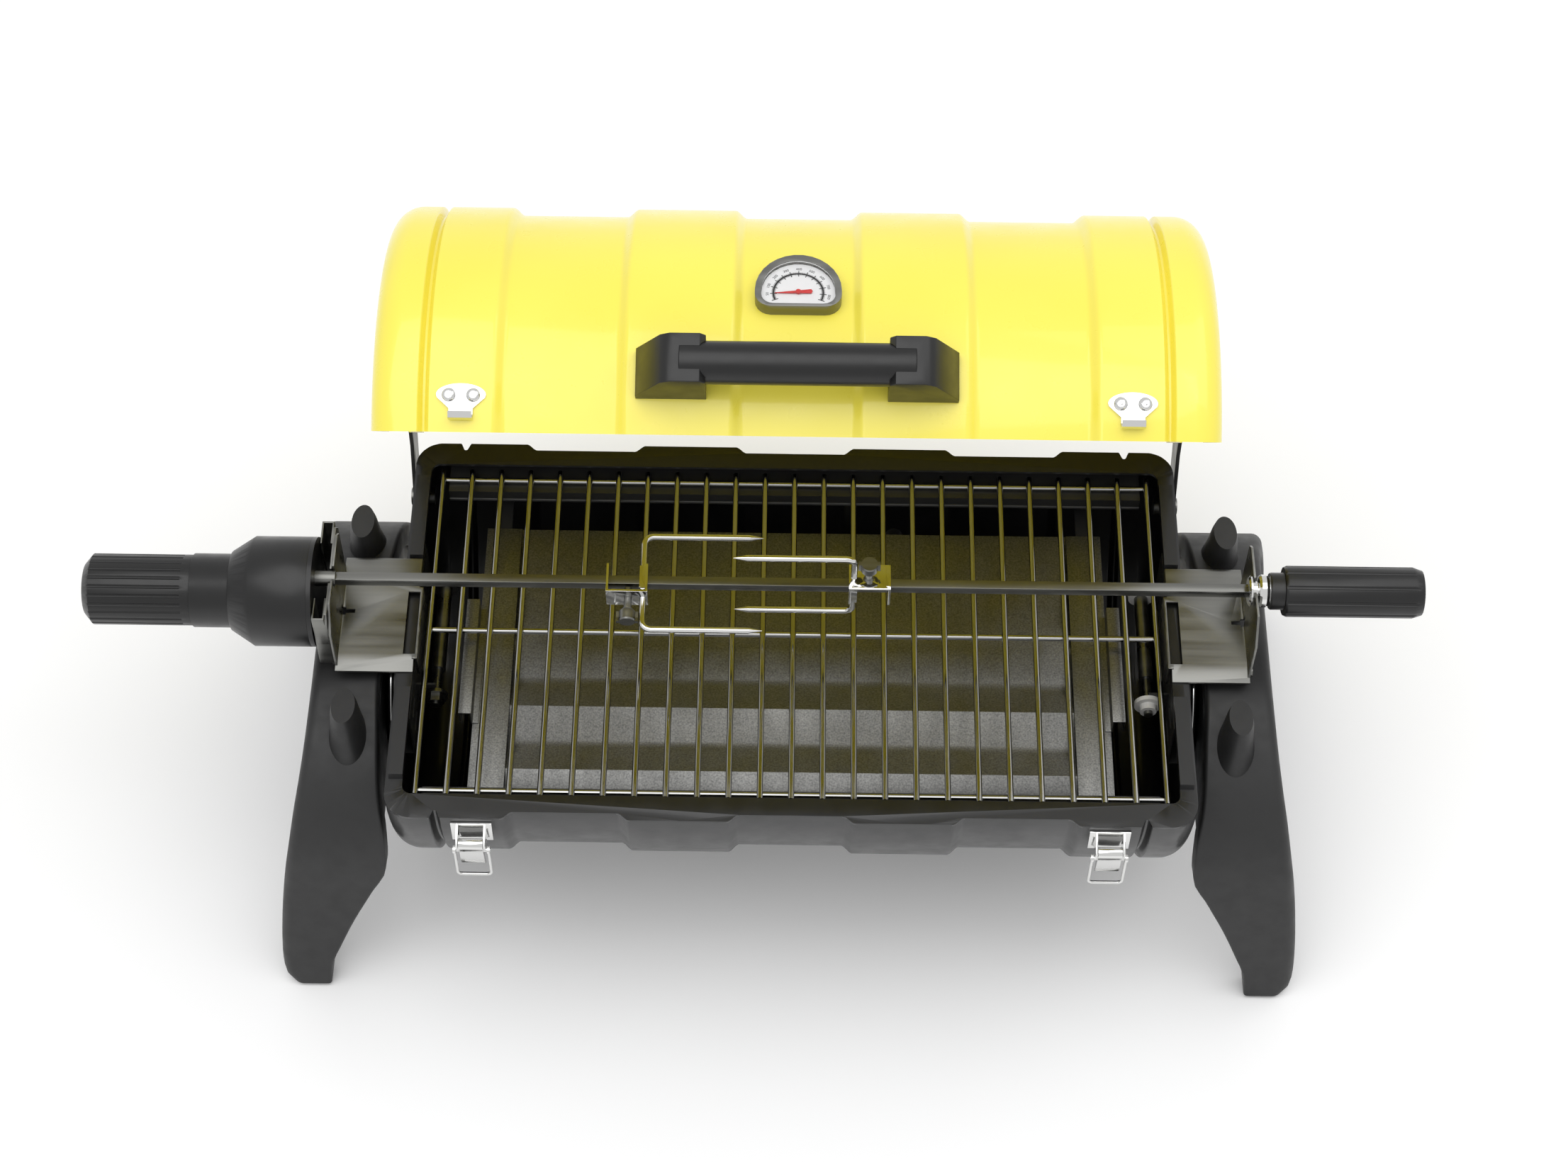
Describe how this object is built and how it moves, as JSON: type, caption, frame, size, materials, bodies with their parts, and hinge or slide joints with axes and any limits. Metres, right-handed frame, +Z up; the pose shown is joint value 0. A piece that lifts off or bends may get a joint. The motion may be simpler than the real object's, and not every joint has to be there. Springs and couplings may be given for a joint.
{
  "type": "rotisserie spit roaster",
  "caption": "Portable barrel grill on two arched end legs, lid hinged open, with a square spit, sliding meat forks and a battery spit motor.",
  "frame": {"origin": "on the ground, at the middle of the whole machine's footprint box", "axes": "+X along the drum and spit, from the motor to the hand grip; +Y to the rear, where the lid hinges; +Z up"},
  "size_m": [0.862, 0.399, 0.4671],
  "materials": {
    "black_enamel": "glossy enamel",
    "yellow_paint": "glossy paint",
    "charcoal_plastic": "fine grain",
    "black_plastic": "satin",
    "stainless": "brushed",
    "chrome": "polished",
    "galvanised": "grained",
    "dark_steel": "satin",
    "brass": "machined",
    "rubber": "matt",
    "ceramic": "fired",
    "dial_white": "printed",
    "needle_red": "painted",
    "glass": "clear",
    "cell_wrap": "printed sleeve",
    "gear_plastic": "moulded"
  },
  "bodies": {
    "bowl": {"bowl_drum": "black_enamel", "bowl_left_end": "black_enamel", "bowl_right_end": "black_enamel", "rim_frame": "black_enamel", "cooking_grate": "chrome", "bowl_supports": "dark_steel", "heat_plate": "galvanised", "heat_plate_ends": "galvanised", "burner_tube": "stainless", "gas_feed_tube": "stainless", "gas_inlet": "brass", "end_rods": "stainless", "ceramic_bushings": "ceramic", "end_baffles": "dark_steel", "left_leg": "charcoal_plastic", "right_leg": "charcoal_plastic", "foot_pads": "rubber", "leg_hubs": "black_plastic", "leg_hardware": "chrome", "left_spit_bracket": "stainless", "right_spit_bracket": "stainless", "bracket_screws": "stainless", "motor_mount": "stainless", "latch_bases": "chrome", "lid_hinge_pins": "stainless", "motor_housing": "black_plastic", "motor_face_plate": "black_plastic", "dc_motor": "stainless", "gear_plate": "stainless"},
    "lid": {"lid_drum": "yellow_paint", "lid_left_end": "yellow_paint", "lid_right_end": "yellow_paint", "lid_arms": "dark_steel", "arm_rivets": "stainless", "lid_handle_tube": "black_plastic", "lid_handle_ends": "black_plastic", "lid_catches": "chrome", "gauge_case": "stainless", "gauge_dial": "dial_white", "gauge_glass": "glass", "gauge_stem": "stainless"},
    "needle": {"gauge_needle": "needle_red"},
    "spit": {"spit_rod": "stainless", "spit_bushing": "chrome", "spit_handle": "black_plastic"},
    "left_fork": {"left_fork": "chrome"},
    "left_fork_screw": {"left_fork_screw": "stainless"},
    "right_fork": {"right_fork": "chrome"},
    "right_fork_screw": {"right_fork_screw": "stainless"},
    "drive": {"drive_socket": "stainless"},
    "reduction": {"reduction_gear": "gear_plastic"},
    "pinion": {"motor_pinion": "brass"},
    "switch": {"motor_switch": "black_plastic"},
    "battery_cover": {"battery_cover": "black_plastic", "battery_cell": "cell_wrap", "battery_contact": "stainless"},
    "left_lever": {"left_latch_lever": "chrome"},
    "right_lever": {"right_latch_lever": "chrome"},
    "left_bail": {"left_latch_bail": "chrome"},
    "right_bail": {"right_latch_bail": "chrome"}
  },
  "joints": [
    {"name": "lid_hinge", "type": "hinge", "parent": "bowl", "child": "lid", "pos_m": [0.027, 0.099, 0.158], "axis": [1, 0, 0], "range_deg": [0, 53]},
    {"name": "gauge_pointer", "type": "hinge", "parent": "lid", "child": "needle", "pos_m": [0.027, 0.05379, 0.43759], "axis": [0, 0.0087, 1], "range_deg": [-206, 13]},
    {"name": "spit_spin", "type": "hinge", "parent": "bowl", "child": "spit", "pos_m": [0.027, -0.034, 0.25], "axis": [1, 0, 0], "continuous": true},
    {"name": "drive_spin", "type": "hinge", "parent": "bowl", "child": "drive", "pos_m": [-0.283, -0.034, 0.25], "axis": [1, 0, 0], "continuous": true},
    {"name": "reduction_spin", "type": "hinge", "parent": "bowl", "child": "reduction", "pos_m": [-0.293, -0.034, 0.2335], "axis": [1, 0, 0], "continuous": true},
    {"name": "pinion_spin", "type": "hinge", "parent": "bowl", "child": "pinion", "pos_m": [-0.293, -0.034, 0.217], "axis": [1, 0, 0], "continuous": true},
    {"name": "left_fork_slide", "type": "slide", "parent": "spit", "child": "left_fork", "axis": [1, 0, 0], "range_m": [-0.12, 0.02]},
    {"name": "right_fork_slide", "type": "slide", "parent": "spit", "child": "right_fork", "axis": [1, 0, 0], "range_m": [-0.02, 0.15]},
    {"name": "left_fork_screw_turn", "type": "hinge", "parent": "left_fork", "child": "left_fork_screw", "pos_m": [-0.0795, -0.034, 0.25], "axis": [0, -0.9954, -0.0958], "range_deg": [0, 360]},
    {"name": "right_fork_screw_turn", "type": "hinge", "parent": "right_fork", "child": "right_fork_screw", "pos_m": [0.075, -0.034, 0.25], "axis": [0, -0.0958, 0.9954], "range_deg": [0, 360]},
    {"name": "motor_switch_slide", "type": "slide", "parent": "bowl", "child": "switch", "axis": [1, 0, 0], "range_m": [0, 0.003]},
    {"name": "battery_cover_slide", "type": "slide", "parent": "bowl", "child": "battery_cover", "axis": [-1, 0, 0], "range_m": [0, 0.075]},
    {"name": "left_latch_lever", "type": "hinge", "parent": "bowl", "child": "left_lever", "pos_m": [-0.175, -0.193, 0.187], "axis": [-1, 0, 0], "range_deg": [0, 30]},
    {"name": "left_latch_bail", "type": "hinge", "parent": "left_lever", "child": "left_bail", "pos_m": [-0.175, -0.1936, 0.181], "axis": [-1, 0, 0], "range_deg": [0, 150]},
    {"name": "right_latch_lever", "type": "hinge", "parent": "bowl", "child": "right_lever", "pos_m": [0.229, -0.193, 0.187], "axis": [-1, 0, 0], "range_deg": [0, 30]},
    {"name": "right_latch_bail", "type": "hinge", "parent": "right_lever", "child": "right_bail", "pos_m": [0.229, -0.1936, 0.181], "axis": [-1, 0, 0], "range_deg": [0, 150]}
  ],
  "couplings": [
    {"joint": "drive_spin", "follows": "spit_spin", "ratio": 1},
    {"joint": "reduction_spin", "follows": "spit_spin", "ratio": -5},
    {"joint": "pinion_spin", "follows": "spit_spin", "ratio": 25}
  ]
}
